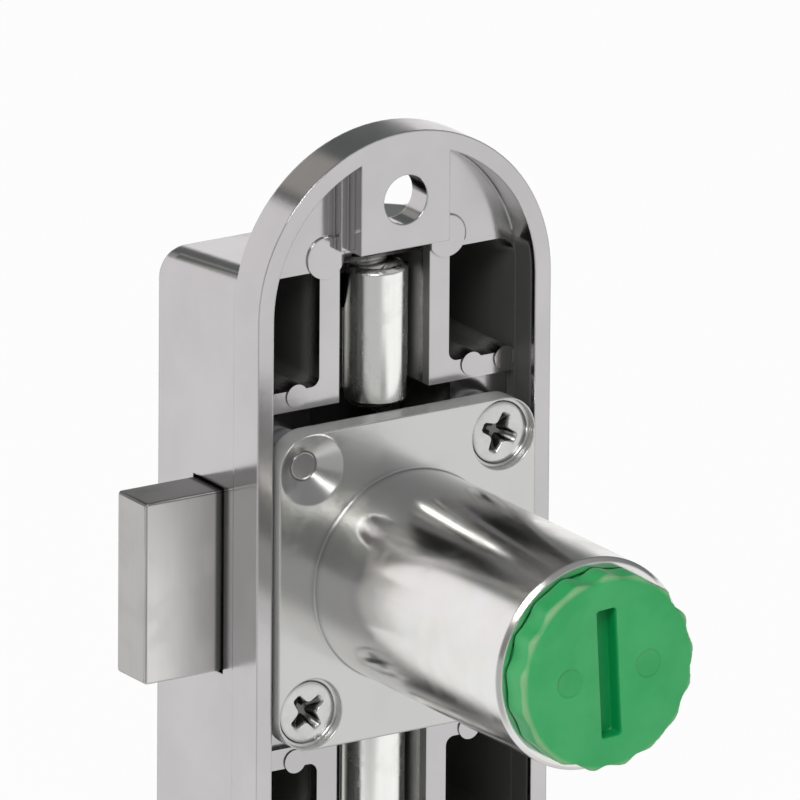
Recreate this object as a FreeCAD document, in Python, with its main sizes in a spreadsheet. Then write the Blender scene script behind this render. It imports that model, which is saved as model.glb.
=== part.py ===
import FreeCAD, Part
import math
import os
import types
import Sketcher

# Cabinet rod lock: a cast case with a push-in cylinder housing, a side bolt and two rod slides.
# X is to the right, Z is up along the rods, and Y runs into the cabinet.
# The origin is the barrel's axis at the door face of the case flange.
# At rest the lock is locked: bolt out to the left, rods out above and below.

doc = FreeCAD.newDocument("CabinetRodLock")
Vector = FreeCAD.Vector

# Driving dimensions in millimetres
dimensions = {
    # Pinion and racks, from which the case takes its width and height
    "tooth_module": 0.75,
    "tooth_count": 12,
    "tooth_angle": 25.0,
    "tooth_play": 0.14,
    "square_width": 4.0,
    "square_depth": 6.0,
    "journal_width": 5.0,
    "bush_wall": 0.9,
    "bush_collar_rim": 0.8,
    "bush_collar_thickness": 0.6,
    "running_clearance": 0.04,
    "end_play": 0.05,
    "cam_width": 6.8,
    "cam_corner": 0.9,
    "cam_length": 2.8,
    "cam_gap": 0.45,
    # Deadbolt
    "bolt_thickness": 4.4,
    "bolt_shoulder": 0.9,
    "bolt_head_length": 8.4,
    "bolt_arm": 1.5,
    "bolt_clearance": 0.2,
    "bolt_edge": 0.3,
    # Rack slides and rod connectors
    "slide_thickness": 2.7,
    "slide_gap": 0.4,
    "slide_side_gap": 0.23,
    "slide_spine": 1.2,
    "slide_foot": 1.5,
    "slide_tab_gap": 0.35,
    "connector_width": 8.2,
    "connector_length": 9.6,
    "nose_width": 5.2,
    "nose_gap": 0.5,
    "nose_overhang": 1.3,
    "nose_lip": 0.72,
    "nose_edge": 0.4,
    "rivet_width": 2.0,
    "rivet_grip": 2.6,
    "rivet_head": 3.6,
    "rivet_head_thickness": 0.55,
    "rivet_inset": 1.25,
    "rivet_room": 0.75,
    # Rods and their guides
    "rod_width": 5.0,
    "rod_guide_clearance": 0.2,
    "rod_back_wall": 1.0,
    "rod_thread": 4.2,
    "rod_stop": 2.6,
    "rod_side_gap": 0.26,
    "rod_end_room": 2.7,
    "guide_boss_flank": 4.9,
    "guide_boss_rise": 1.2,
    # Plate fasteners
    "screw_inset": 3.12,
    "screw_thread": 3.0,
    "screw_head": 5.5,
    "screw_length": 8.0,
    "screw_seat_rim": 0.25,
    "screw_recess": 0.6,
    "screw_cross_width": 0.62,
    "screw_cross_length": 3.1,
    "screw_cross_depth": 1.1,
    "boss_width": 4.9,
    "peg_width": 2.4,
    "peg_recess": 1.35,
    # Case box
    "box_side_inset": 0.3,
    "box_side_draft": 0.2,
    "box_end_draft": 1.2,
    "box_corner": 2.4,
    "box_wall": 1.3,
    "rib_thickness": 1.94,
    "rib_front": 3.1,
    "web_gap": 0.28,
    "web_thickness": 1.75,
    "web_corner": 0.8,
    "web_pad_place": 8.5,
    "web_pad_step": 3.2,
    "web_pad_width": 2.0,
    "boss_tie_drop": 0.6,
    "ejector_pad_place": 5.9,
    "ejector_pad_lift": 0.3,
    "ejector_pad_width": 3.6,
    "ejector_pad_rise": 0.15,
    # Case flange
    "plate_gap": 0.3,
    "flange_rim": 1.5,
    "flange_depth": 4.0,
    "flange_back_edge": 0.25,
    "floor_thickness": 1.05,
    "fixing_offset": 5.08,
    "fixing_margin": 5.8,
    "fixing_bore": 4.2,
    "countersink_width": 7.6,
    "land_width": 8.6,
    "land_lift": 0.9,
    "channel_lift": 0.2,
    "ledge_step": 0.7,
    "ledge_height": 1.0,
    # Cylinder housing
    "plate_corner": 3.1,
    "plate_thickness": 2.0,
    "plate_proud": 0.6,
    "barrel_width": 18.0,
    "barrel_length": 28.2,
    "barrel_wall": 1.1,
    "barrel_edge": 0.35,
    "barrel_base": 1.6,
    # Core driver
    "driver_gap": 0.4,
    "driver_thickness": 3.1,
    "neck_width": 8.0,
    "driver_slot_width": 3.0,
    "driver_slot_depth": 1.0,
    "washer_rim": 2.2,
    "washer_thickness": 0.5,
    "clip_rim": 2.0,
    "clip_thickness": 0.55,
    "clip_groove_depth": 0.5,
    "stop_pin_width": 2.0,
    "stop_pin_offset": 1.6,
    "stop_pin_grip": 2.0,
    "stop_pin_reach": 1.7,
    # Detent spring
    "spring_thickness": 0.4,
    "spring_width": 2.4,
    "spring_overhang": 3.8,
    "spring_holder_width": 2.4,
    # Dummy plug
    "plug_cap_inset": 0.7,
    "plug_cap_thickness": 2.7,
    "plug_cap_edge": 0.45,
    "plug_scallops": 16,
    "plug_scallop_depth": 0.38,
    "plug_scallop_width": 2.7,
    "plug_slot_length": 11.0,
    "plug_slot_width": 1.9,
    "plug_slot_depth": 1.5,
    "plug_slot_turn": -3.4,
    "plug_clearance": 0.1,
    "plug_stem_length": 19.0,
    "plug_wall": 1.3,
}


class Size:
    # A number together with the spreadsheet expression that gives it
    def __init__(self, value, text):
        self.value = value
        self.text = text

    def __add__(self, other):
        other = sized(other)
        return Size(self.value + other.value, f"({self.text} + {other.text})")

    def __sub__(self, other):
        other = sized(other)
        return Size(self.value - other.value, f"({self.text} - {other.text})")

    def __mul__(self, other):
        other = sized(other)
        return Size(self.value * other.value, f"({self.text} * {other.text})")

    def __truediv__(self, other):
        other = sized(other)
        return Size(self.value / other.value, f"({self.text} / {other.text})")

    def __neg__(self):
        return self * -1

    def __radd__(self, other):
        return sized(other) + self

    def __rsub__(self, other):
        return sized(other) - self

    def __rmul__(self, other):
        return sized(other) * self


def sized(number):
    if isinstance(number, Size):
        return number
    return Size(float(number), f"({float(number):.9f})")


def fill_sheet():
    sheet = doc.addObject("Spreadsheet::Sheet", "Sizes")
    for row, (name, value) in enumerate(dimensions.items(), start=1):
        sheet.set(f"A{row}", name)
        sheet.set(f"B{row}", str(value))
        sheet.setAlias(f"B{row}", name)
    doc.recompute()
    return types.SimpleNamespace(
        **{name: Size(float(value), f"Sizes.{name}") for name, value in dimensions.items()}
    )


d = fill_sheet()


# Sketch and feature helpers

def new_body(name):
    body = doc.addObject("PartDesign::Body", name)
    body.Label = name
    return body


def origin_part(body, role):
    for item in body.Origin.OriginFeatures:
        if item.Role == role:
            return item


def new_sketch(body, name, plane, offset):
    sketch = body.newObject("Sketcher::SketchObject", name)
    sketch.AttachmentSupport = [(origin_part(body, plane), "")]
    sketch.MapMode = "FlatFace"
    along = -sized(offset) if plane == "XZ_Plane" else sized(offset)
    sketch.setExpression("AttachmentOffset.Base.z", along.text)
    return sketch


def tie_point(sketch, geometry, position, x, y):
    for kind, size, axis in (("DistanceX", sized(x), -2), ("DistanceY", sized(y), -1)):
        if size.value == 0:
            sketch.addConstraint(Sketcher.Constraint("PointOnObject", geometry, position, axis))
        else:
            held = Sketcher.Constraint(kind, -1, 1, geometry, position, size.value)
            index = sketch.addConstraint(held)
            sketch.setExpression(f"Constraints[{index}]", size.text)


def arc_between(start, end, radius):
    # A positive radius turns left on the way from start to end, a negative one turns right
    chord = end - start
    rise = math.sqrt(max(radius * radius - chord.Length ** 2 / 4, 0))
    left = Vector(-chord.y, chord.x, 0).normalize()
    centre = (start + end) * 0.5 + left * math.copysign(rise, radius)
    first, last = (start, end) if radius > 0 else (end, start)
    first_angle = math.atan2(first.y - centre.y, first.x - centre.x)
    last_angle = math.atan2(last.y - centre.y, last.x - centre.x)
    if last_angle < first_angle:
        last_angle += 2 * math.pi
    circle = Part.Circle(centre, Vector(0, 0, 1), abs(radius))
    return Part.ArcOfCircle(circle, first_angle, last_angle)


def draw_outline(sketch, corners):
    # Each corner is (x, y), or (x, y, radius) where an arc leads to the next corner
    spots = [Vector(sized(c[0]).value, sized(c[1]).value, 0) for c in corners]
    runs = []
    for index, corner in enumerate(corners):
        start, end = spots[index], spots[(index + 1) % len(spots)]
        if len(corner) == 3:
            radius = sized(corner[2])
            item = sketch.addGeometry(arc_between(start, end, radius.value), False)
            held = Sketcher.Constraint("Radius", item, abs(radius.value))
            number = sketch.addConstraint(held)
            text = radius.text if radius.value > 0 else (-radius).text
            sketch.setExpression(f"Constraints[{number}]", text)
            runs.append((item, 1, 2) if radius.value > 0 else (item, 2, 1))
        else:
            item = sketch.addGeometry(Part.LineSegment(start, end), False)
            runs.append((item, 1, 2))
    for index, (item, _, last) in enumerate(runs):
        following, first, _ = runs[(index + 1) % len(runs)]
        sketch.addConstraint(Sketcher.Constraint("Coincident", item, last, following, first))
    for (item, first, _), corner in zip(runs, corners):
        tie_point(sketch, item, first, corner[0], corner[1])


def draw_circle(sketch, x, y, radius):
    centre = Vector(sized(x).value, sized(y).value, 0)
    item = sketch.addGeometry(Part.Circle(centre, Vector(0, 0, 1), sized(radius).value), False)
    number = sketch.addConstraint(Sketcher.Constraint("Radius", item, sized(radius).value))
    sketch.setExpression(f"Constraints[{number}]", sized(radius).text)
    tie_point(sketch, item, 3, x, y)


def draw_loops(sketch, loops):
    for loop in loops:
        if isinstance(loop, tuple):
            draw_circle(sketch, *loop)
        else:
            draw_outline(sketch, loop)


def rectangle(left, right, bottom, top):
    return [(left, bottom), (right, bottom), (right, top), (left, top)]


def rounded_rectangle(half_width, half_height, corner):
    x, y = half_width - corner, half_height - corner
    return [
        (-x, -half_height), (x, -half_height, corner), (half_width, -y), (half_width, y, corner),
        (x, half_height), (-x, half_height, corner), (-half_width, y), (-half_width, -y, corner),
    ]


def stadium(half_width, half_length):
    straight = half_length - half_width
    return [
        (half_width, -straight), (half_width, straight, half_width),
        (0, half_length, half_width), (-half_width, straight),
        (-half_width, -straight, half_width), (0, -half_length, half_width),
    ]


def pad(body, name, plane, low, high, loops):
    # The XZ plane faces -Y, so its sketch lies at the high end
    base = high if plane == "XZ_Plane" else low
    sketch = new_sketch(body, f"{name}_outline", plane, base)
    draw_loops(sketch, loops)
    feature = body.newObject("PartDesign::Pad", name)
    feature.Profile = sketch
    feature.setExpression("Length", (sized(high) - low).text)
    return feature


def pocket(body, name, plane, low, high, loops):
    # A pocket runs against its sketch's normal, so the sketch lies at the other end
    base = low if plane == "XZ_Plane" else high
    sketch = new_sketch(body, f"{name}_outline", plane, base)
    draw_loops(sketch, loops)
    feature = body.newObject("PartDesign::Pocket", name)
    feature.Profile = sketch
    feature.setExpression("Length", (sized(high) - low).text)
    return feature


def turned(body, name, kind, plane, offset, corners):
    # A revolved boss or groove about the sketch's own vertical axis
    sketch = new_sketch(body, f"{name}_outline", plane, offset)
    draw_outline(sketch, corners)
    feature = body.newObject(f"PartDesign::{kind}", name)
    feature.Profile = sketch
    feature.ReferenceAxis = (sketch, ["V_Axis"])
    feature.Angle = 360
    return feature


def tapered(body, name, kind, low, low_loop, high, high_loop):
    first = new_sketch(body, f"{name}_front", "XZ_Plane", low)
    draw_outline(first, low_loop)
    last = new_sketch(body, f"{name}_back", "XZ_Plane", high)
    draw_outline(last, high_loop)
    feature = body.newObject(f"PartDesign::{kind}", name)
    feature.Profile = first
    feature.Sections = [last]
    feature.Ruled = True
    return feature


def edge_names(shape, wanted):
    return [f"Edge{number}" for number, edge in enumerate(shape.Edges, start=1) if wanted(edge)]


def softened(body, name, kind, base, size, wanted):
    # A fillet or a chamfer on the edges that are wanted
    doc.recompute()
    feature = body.newObject(f"PartDesign::{kind}", name)
    feature.Base = (base, edge_names(base.Shape, wanted))
    feature.setExpression("Radius" if kind == "Fillet" else "Size", size.text)
    return feature


def in_plane(edge, axis, place):
    box = edge.BoundBox
    low, high = {"X": (box.XMin, box.XMax), "Y": (box.YMin, box.YMax), "Z": (box.ZMin, box.ZMax)}[axis]
    return abs(low - place.value) < 1e-4 and abs(high - place.value) < 1e-4


def beside(edge, axis, place):
    # True for an edge that lies at this distance on either side of the middle
    return in_plane(edge, axis, place) or in_plane(edge, axis, -place)


def both(loops_for):
    # The loops of an item and of its mirror image across Z = 0
    return loops_for(1) + loops_for(-1)


# Places shared by several pieces

# Pinion, racks and bolt, seen from the front
pitch_radius = d.tooth_module * d.tooth_count / 2
tip_radius = pitch_radius + d.tooth_module
root_radius = pitch_radius - d.tooth_module * 1.25
tooth_pitch = d.tooth_module * math.pi
travel = pitch_radius * (math.pi / 2)
rack_tip = pitch_radius - d.tooth_module
rack_root = pitch_radius + d.tooth_module * 1.2
slide_outer = rack_root + d.slide_spine
arm_outer = rack_root + d.bolt_arm
half_bolt = arm_outer + d.bolt_shoulder
slide_foot_low = tip_radius + travel + d.slide_gap
slide_foot_top = slide_foot_low + d.slide_foot
connector_foot = slide_foot_top + d.slide_gap
connector_top = connector_foot + d.connector_length
half_connector = d.connector_width / 2
rivet_up = connector_foot + d.rivet_inset

# Case and plate, seen from the front
boss_radius = d.boss_width / 2
boss_across = slide_outer + d.slide_side_gap + boss_radius
boss_up = half_bolt + d.bolt_clearance * 1.25 + boss_radius
half_plate = boss_across + d.screw_inset
half_plate_height = boss_up + d.screw_inset
inner_half_flange = half_plate + d.plate_gap
half_flange = inner_half_flange + d.flange_rim
half_box = half_flange - d.box_side_inset
half_box_height = connector_top + d.rod_end_room
fixing_place = half_box_height + d.fixing_offset
half_length = fixing_place + d.fixing_margin
rib_inner = half_connector + d.rod_side_gap
rib_outer = rib_inner + d.rib_thickness
guide_radius = d.rod_width / 2 + d.rod_guide_clearance
screw_hole = d.screw_thread / 2 + d.running_clearance
screw_seat = d.screw_head / 2 + d.screw_seat_rim

# Layers from the front to the back
plate_front = -d.plate_proud
plate_back = d.plate_thickness - d.plate_proud
screw_seat_depth = plate_front + d.screw_recess
floor_front = d.flange_depth - d.floor_thickness
washer_front = plate_back + d.end_play
clip_front = washer_front + d.washer_thickness + d.end_play
cam_front = clip_front + d.clip_thickness + d.end_play * 2
cam_back = cam_front + d.cam_length
spring_front = cam_front + (d.cam_length - d.spring_width) / 2
bolt_front = cam_back + d.cam_gap
bolt_back = bolt_front + d.bolt_thickness
slide_front = bolt_back + d.slide_gap
slide_back = slide_front + d.slide_thickness
rivet_front = slide_front - d.rivet_grip
back_inner = slide_back + d.rivet_head_thickness + d.rivet_room
box_back = back_inner + d.box_wall
nose_depth = plate_back + d.nose_gap + d.nose_width / 2
rod_depth = slide_front - d.rod_back_wall - d.rod_thread / 2

# Barrel, driver and detent
barrel_radius = d.barrel_width / 2
bore_radius = barrel_radius - d.barrel_wall
neck_radius = d.neck_width / 2
disc_radius = bore_radius - d.driver_gap
stop_pin_place = neck_radius + d.stop_pin_offset
stop_pin_back = d.stop_pin_grip - d.barrel_base
bush_radius = d.journal_width / 2 + d.bush_wall
half_cam = d.cam_width / 2
spring_middle = half_cam + d.running_clearance + d.spring_thickness / 2
spring_reach = half_cam + d.spring_overhang


def make_case():
    body = new_body("case_body")
    flange = pad(body, "flange", "XZ_Plane", 0, d.flange_depth, [stadium(half_flange, half_length)])
    softened(body, "flange_back_edge", "Chamfer", flange, d.flange_back_edge,
             lambda edge: in_plane(edge, "Y", d.flange_depth))
    # The box behind the flange, drafted on every side
    back_half = half_box - d.box_side_draft
    back_height = half_box_height - d.box_end_draft
    tapered(body, "box", "AdditiveLoft",
            floor_front, rounded_rectangle(half_box, half_box_height, d.box_corner),
            box_back, rounded_rectangle(back_half, back_height, d.box_corner))
    # Rounded bosses above and below carry the rods
    half_boss = guide_radius + d.guide_boss_flank
    boss_back = rod_depth + guide_radius + d.box_wall * 1.5
    turn_start = boss_back - half_boss
    guide = [
        (-half_boss, floor_front + d.floor_thickness / 2),
        (half_boss, floor_front + d.floor_thickness / 2),
        (half_boss, turn_start, half_boss), (0, boss_back, half_boss), (-half_boss, turn_start),
    ]
    boss_top = half_box_height + d.guide_boss_rise
    boss_root = half_box_height - d.box_end_draft - d.box_wall
    pad(body, "upper_guide_boss", "XY_Plane", boss_root, boss_top, [guide])
    pad(body, "lower_guide_boss", "XY_Plane", -boss_top, -boss_root, [guide])
    # The hollow front of the flange, then the deep chamber of the box
    inner_length = half_length - d.flange_rim
    pocket(body, "flange_recess", "XZ_Plane", 0, floor_front,
           [stadium(inner_half_flange, inner_length)])
    corner = d.box_corner - d.box_wall / 2
    tapered(body, "chamber", "SubtractiveLoft",
            floor_front - d.floor_thickness,
            rounded_rectangle(half_box - d.box_wall, half_box_height - d.box_wall / 2, corner),
            back_inner,
            rounded_rectangle(back_half - d.box_wall, back_height - d.box_wall, corner))
    # The rod channel runs on above and below the chamber, under the guide bosses
    channel_end = half_box_height + d.channel_lift

    def channel(side):
        z = sorted_pair(half_box_height * side - side, channel_end * side)
        return [rectangle(-rib_inner, rib_inner, *z)]

    pocket(body, "channel_ends", "XZ_Plane", floor_front - 1, bolt_front - d.slide_gap, both(channel))
    # A raised land at each end takes the fixing screw
    land_end = inner_length + d.flange_rim / 3
    land_start = half_box_height + d.land_lift
    half_land = d.land_width / 2
    half_ledge = half_land + d.ledge_step
    ledge_front = floor_front - d.ledge_height
    under_floor = floor_front + d.floor_thickness / 2

    def strip(half, start):
        return lambda side: [rectangle(-half, half, *sorted_pair(start * side, land_end * side))]

    pad(body, "ledges", "XZ_Plane", ledge_front, under_floor,
        both(strip(half_ledge, land_start)))
    pad(body, "lands", "XZ_Plane", 0, under_floor, both(strip(half_land, land_start)))
    # Ribs beside the rod channel, and the webs that tie them to the side walls
    inner_top = half_box_height - d.box_wall / 2
    side_wall = half_box - d.box_wall / 2
    web_low = slide_foot_top + d.web_gap
    web_high = web_low + d.web_thickness

    def quarters(left, right, low, high):
        loops = []
        for across in (-1, 1):
            for up in (-1, 1):
                x = sorted_pair(left * across, right * across)
                z = sorted_pair(low * up, high * up)
                loops.append(rectangle(*x, *z))
        return loops

    def rounds(x, z, radius):
        return [(x * across, z * up, radius) for across in (-1, 1) for up in (-1, 1)]

    deep = back_inner + d.box_wall / 2
    rib_ends = quarters(rib_inner, rib_outer, web_low, inner_top)
    rib_roots = quarters(rib_inner, rib_outer, web_low, inner_top - d.box_end_draft)
    for number, (end, rib_root) in enumerate(zip(rib_ends, rib_roots), start=1):
        tapered(body, f"channel_rib_{number}", "AdditiveLoft", d.rib_front, end, deep, rib_root)
    webs = pad(body, "webs", "XZ_Plane", d.rib_front, deep,
               quarters(rib_outer - d.rib_thickness / 2, side_wall, web_low, web_high))
    softened(body, "web_corners", "Fillet", webs, d.web_corner,
             lambda edge: beside(edge, "X", rib_outer) and beside(edge, "Z", web_high))
    pad_radius = d.web_pad_width / 2
    pad_up = web_high - pad_radius / 2
    pad(body, "web_pads", "XZ_Plane", d.rib_front - d.ejector_pad_rise, deep,
        rounds(d.web_pad_place, pad_up, pad_radius)
        + rounds(d.web_pad_place + d.web_pad_step, pad_up, pad_radius))
    pad(body, "boss_ties", "XZ_Plane", d.rib_front + d.boss_tie_drop, deep,
        quarters(boss_across - boss_radius, side_wall, boss_up, web_low + d.web_thickness / 2))
    pad(body, "ejector_pads", "XZ_Plane", floor_front - d.ejector_pad_rise, under_floor,
        rounds(d.ejector_pad_place, half_box_height + d.ejector_pad_lift,
               d.ejector_pad_width / 2))
    # Four bosses carry the housing plate; two have pegs that are peened over in it
    pad(body, "plate_bosses", "XZ_Plane", plate_back, deep, rounds(boss_across, boss_up, boss_radius))
    pad(body, "plate_pegs", "XZ_Plane", plate_front + d.peg_recess, plate_back + d.box_wall,
        [(-boss_across, boss_up, d.peg_width / 2), (boss_across, -boss_up, d.peg_width / 2)])
    # Guides above and below the bolt: beside its head on the left, beside its arms on the right
    guides = []
    for side, low in ((-1, half_bolt), (1, arm_outer)):
        x = sorted_pair((boss_across - boss_radius) * side, side_wall * side)
        for up in (-1, 1):
            z = sorted_pair((low + d.bolt_clearance) * up, boss_up * up)
            guides.append(rectangle(*x, *z))
    pad(body, "bolt_guides", "XZ_Plane", bolt_front, deep, guides)
    # Holes: rods, bolt, screws, bush and fixing screws
    rod_hole = (0, rod_depth, guide_radius)
    pocket(body, "upper_rod_hole", "XY_Plane", boss_root - d.box_wall, boss_top + 1, [rod_hole])
    pocket(body, "lower_rod_hole", "XY_Plane", -boss_top - 1, d.box_wall - boss_root, [rod_hole])
    slot_half = half_bolt + d.bolt_clearance
    pocket(body, "bolt_slot", "YZ_Plane", -half_flange, d.box_wall * 2 - half_flange,
           [rectangle(bolt_front - d.bolt_clearance, bolt_back + d.bolt_clearance,
                      -slot_half, slot_half)])
    pocket(body, "screw_holes", "XZ_Plane", plate_back - 1, screw_seat_depth + d.screw_length + 1,
           [(boss_across, boss_up, screw_hole), (-boss_across, -boss_up, screw_hole)])
    pocket(body, "bush_hole", "XZ_Plane", back_inner - 1, box_back + 1, [(0, 0, bush_radius)])
    bore = d.fixing_bore / 2
    sink = d.countersink_width / 2
    flare = d.flange_depth - (sink - bore)
    for name, place in (("upper_fixing_hole", fixing_place), ("lower_fixing_hole", -fixing_place)):
        feature = turned(body, name, "Groove", "XY_Plane", place, [
            (0, -1), (bore, -1), (bore, flare), (sink, d.flange_depth), (sink, d.flange_depth + 1),
            (0, d.flange_depth + 1),
        ])
    body.Tip = feature
    return body


def sorted_pair(one, other):
    one, other = sized(one), sized(other)
    return (one, other) if one.value < other.value else (other, one)


def make_housing():
    body = new_body("cylinder_housing")
    pad(body, "plate", "XZ_Plane", plate_front, plate_back,
        [rounded_rectangle(half_plate, half_plate_height, d.plate_corner)])
    outer = barrel_radius
    inner = bore_radius
    tip = -d.barrel_length
    root = plate_back - d.plate_thickness / 2
    turned(body, "barrel", "Revolution", "XY_Plane", 0, [
        (0, root), (0, tip), (outer - d.barrel_edge, tip), (outer, tip + d.barrel_edge), (outer, root),
    ])
    neck = neck_radius + d.running_clearance
    bore_edge = d.barrel_edge / 2
    turned(body, "barrel_bore", "Groove", "XY_Plane", 0, [
        (0, tip - 1), (inner + bore_edge, tip - 1), (inner + bore_edge, tip),
        (inner, tip + bore_edge), (inner, -d.barrel_base), (neck, -d.barrel_base),
        (neck, plate_back + 1), (0, plate_back + 1),
    ])
    # Every fastener seat is dished; two are bored for screws and two for the case's pegs
    seat = screw_seat
    pocket(body, "seat_faces", "XZ_Plane", plate_front - 1, screw_seat_depth, [
        (boss_across, boss_up, seat), (-boss_across, -boss_up, seat),
    ])
    head = d.screw_head / 2
    shank = screw_hole
    head_floor = screw_seat_depth + (head - shank)
    peg = d.peg_width / 2 + d.running_clearance
    seats = (
        ("upper_screw_seat", 1, 1, screw_seat_depth, head, shank, head_floor),
        ("lower_screw_seat", -1, -1, screw_seat_depth, head, shank, head_floor),
        ("upper_peg_seat", -1, 1, plate_front, seat, peg, plate_front + d.peg_recess),
        ("lower_peg_seat", 1, -1, plate_front, seat, peg, plate_front + d.peg_recess),
    )
    for name, across, up, front, wide, narrow, floor in seats:
        sketch = new_sketch(body, f"{name}_mouth", "XZ_Plane", front)
        draw_circle(sketch, boss_across * across, boss_up * up, wide)
        end = new_sketch(body, f"{name}_floor", "XZ_Plane", floor)
        draw_circle(end, boss_across * across, boss_up * up, narrow)
        cone = body.newObject("PartDesign::SubtractiveLoft", name)
        cone.Profile = sketch
        cone.Sections = [end]
    pocket(body, "fastener_bores", "XZ_Plane", plate_front, plate_back + 1, [
        (boss_across, boss_up, shank), (-boss_across, -boss_up, shank),
        (-boss_across, boss_up, peg), (boss_across, -boss_up, peg),
    ])
    pocket(body, "stop_pin_hole", "XZ_Plane", -d.barrel_base - 1, stop_pin_back + d.end_play,
           [(stop_pin_place, 0, d.stop_pin_width / 2)])
    # Two holders on the plate's back grip the ends of the detent spring
    reach = spring_reach
    half_holder = d.spring_holder_width / 2
    loops, slots = [], []
    for side in (-1, 1):
        x = sorted_pair((reach - half_holder) * side, (reach + half_holder) * side)
        loops.append(rectangle(*x, -spring_middle - half_holder, half_holder - spring_middle))
        x = sorted_pair((reach - half_holder) * side, (reach + half_holder / 2) * side)
        grip = d.spring_thickness / 2 + d.running_clearance / 2
        slots.append(rectangle(*x, -spring_middle - grip, grip - spring_middle))
    pad(body, "spring_holders", "XZ_Plane", plate_back, cam_back, loops)
    last = pocket(body, "spring_slots", "XZ_Plane", spring_front - d.end_play, cam_back, slots)
    body.Tip = last
    return body


def make_screws():
    # Two cross-recess countersunk screws, each turned as it was left when driven
    thread = d.screw_thread / 2
    head = d.screw_head / 2 - d.running_clearance
    solids = []
    for name, across, up, turn in (("upper_screw", 1, 1, 20), ("lower_screw", -1, -1, 38)):
        body = new_body(name)
        front = screw_seat_depth
        turned(body, f"{name}_form", "Revolution", "XY_Plane", 0, [
            (0, front), (head, front), (thread, front + head - thread),
            (thread, front + d.screw_length), (0, front + d.screw_length),
        ])
        half_long, half_thin = d.screw_cross_length / 2, d.screw_cross_width / 2
        floor = front + d.screw_cross_depth
        pocket(body, f"{name}_cross", "XZ_Plane", front - 0.1, floor, [[
            (-half_long, -half_thin), (-half_thin, -half_thin), (-half_thin, -half_long),
            (half_thin, -half_long), (half_thin, -half_thin), (half_long, -half_thin),
            (half_long, half_thin), (half_thin, half_thin), (half_thin, half_long),
            (-half_thin, half_long), (-half_thin, half_thin), (-half_long, half_thin),
        ]])
        body.setExpression("Placement.Base.x", (boss_across * across).text)
        body.setExpression("Placement.Base.z", (boss_up * up).text)
        body.Placement.Rotation = FreeCAD.Rotation(Vector(0, 1, 0), turn)
        solids.append(body)
    group = doc.addObject("Part::Compound", "plate_screws")
    group.Label = "plate_screws"
    group.Links = solids
    return group


def make_stop_pin():
    body = new_body("stop_pin")
    front = -d.barrel_base - d.end_play - d.stop_pin_reach
    pad(body, "pin", "XZ_Plane", front, stop_pin_back,
        [(stop_pin_place, 0, d.stop_pin_width / 2)])
    return body


def make_detent_spring():
    # A flat leaf that lies along one side of the pinion's square cam
    body = new_body("detent_spring")
    half = d.spring_thickness / 2
    pad(body, "leaf", "XZ_Plane", spring_front, spring_front + d.spring_width,
        [rectangle(-spring_reach, spring_reach, -spring_middle - half, half - spring_middle)])
    return body


def make_rear_bush():
    body = new_body("rear_bush")
    bore = d.journal_width / 2 + d.running_clearance
    outer = bush_radius
    collar = bush_radius + d.bush_collar_rim
    front = back_inner - d.bush_collar_thickness
    end = box_back
    sketch = new_sketch(body, "bush_section", "XY_Plane", 0)
    draw_outline(sketch, [
        (bore, front), (collar, front), (collar, back_inner), (outer, back_inner),
        (outer, end), (bore, end),
    ])
    feature = body.newObject("PartDesign::Revolution", "bush")
    feature.Profile = sketch
    feature.ReferenceAxis = (sketch, ["V_Axis"])
    feature.Angle = 360
    return body


def make_driver():
    body = new_body("core_driver")
    disc = disc_radius
    neck = neck_radius
    back = -d.barrel_base - d.end_play
    front = back - d.driver_thickness
    groove = neck - d.clip_groove_depth
    end = cam_front - d.end_play
    turned(body, "stepped_shaft", "Revolution", "XY_Plane", 0, [
        (0, front), (disc, front), (disc, back), (neck, back),
        (neck, clip_front), (groove, clip_front), (groove, clip_front + d.clip_thickness + 0.05),
        (neck, clip_front + d.clip_thickness + 0.05), (neck, end), (0, end),
    ])
    half_square = d.square_width / 2
    pad(body, "square_end", "XZ_Plane", end - d.end_play, cam_front + d.square_depth,
        [rectangle(-half_square, half_square, -half_square, half_square)])
    half_slot = d.driver_slot_width / 2
    pocket(body, "core_slot", "XZ_Plane", front - 0.1, front + d.driver_slot_depth,
           [rectangle(-half_slot, half_slot, -disc * 0.75, disc * 0.75)])
    # A quarter-turn groove in the disc's back runs over the stop pin
    pin = d.stop_pin_width / 2 + d.running_clearance
    inner, outer = stop_pin_place - pin, stop_pin_place + pin
    middle = 45
    swing = 45 + math.degrees(math.asin(pin.value / stop_pin_place.value)) + 1.0

    def spot(radius, degrees):
        return (radius * math.sin(math.radians(degrees)), radius * math.cos(math.radians(degrees)))

    start, end_angle = middle - swing, middle + swing
    groove_loop = [
        (*spot(inner, end_angle), inner), (*spot(inner, middle), inner), spot(inner, start),
        (*spot(outer, start), -outer), (*spot(outer, middle), -outer), spot(outer, end_angle),
    ]
    sketch = new_sketch(body, "stop_groove_outline", "XZ_Plane", back)
    draw_outline(sketch, groove_loop)
    feature = body.newObject("PartDesign::Pocket", "stop_groove")
    feature.Profile = sketch
    feature.Reversed = True
    feature.setExpression("Length", (d.stop_pin_reach + d.end_play * 2).text)
    body.Tip = feature
    return body


def make_washer():
    body = new_body("driver_washer")
    bore = neck_radius + d.running_clearance
    pad(body, "ring", "XZ_Plane", washer_front, washer_front + d.washer_thickness,
        [(0, 0, neck_radius + d.washer_rim), (0, 0, bore)])
    return body


def make_clip():
    # A retaining ring, open at one side
    body = new_body("driver_circlip")
    groove = neck_radius - d.clip_groove_depth
    bore = groove + d.running_clearance
    outer = groove + d.clip_rim
    back = clip_front + d.clip_thickness
    pad(body, "ring", "XZ_Plane", clip_front, back, [(0, 0, outer), (0, 0, bore)])
    gap = bore * 0.75
    last = pocket(body, "opening", "XZ_Plane", clip_front, back, [rectangle(-gap, gap, 0, outer + 1)])
    body.Tip = last
    return body


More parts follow.
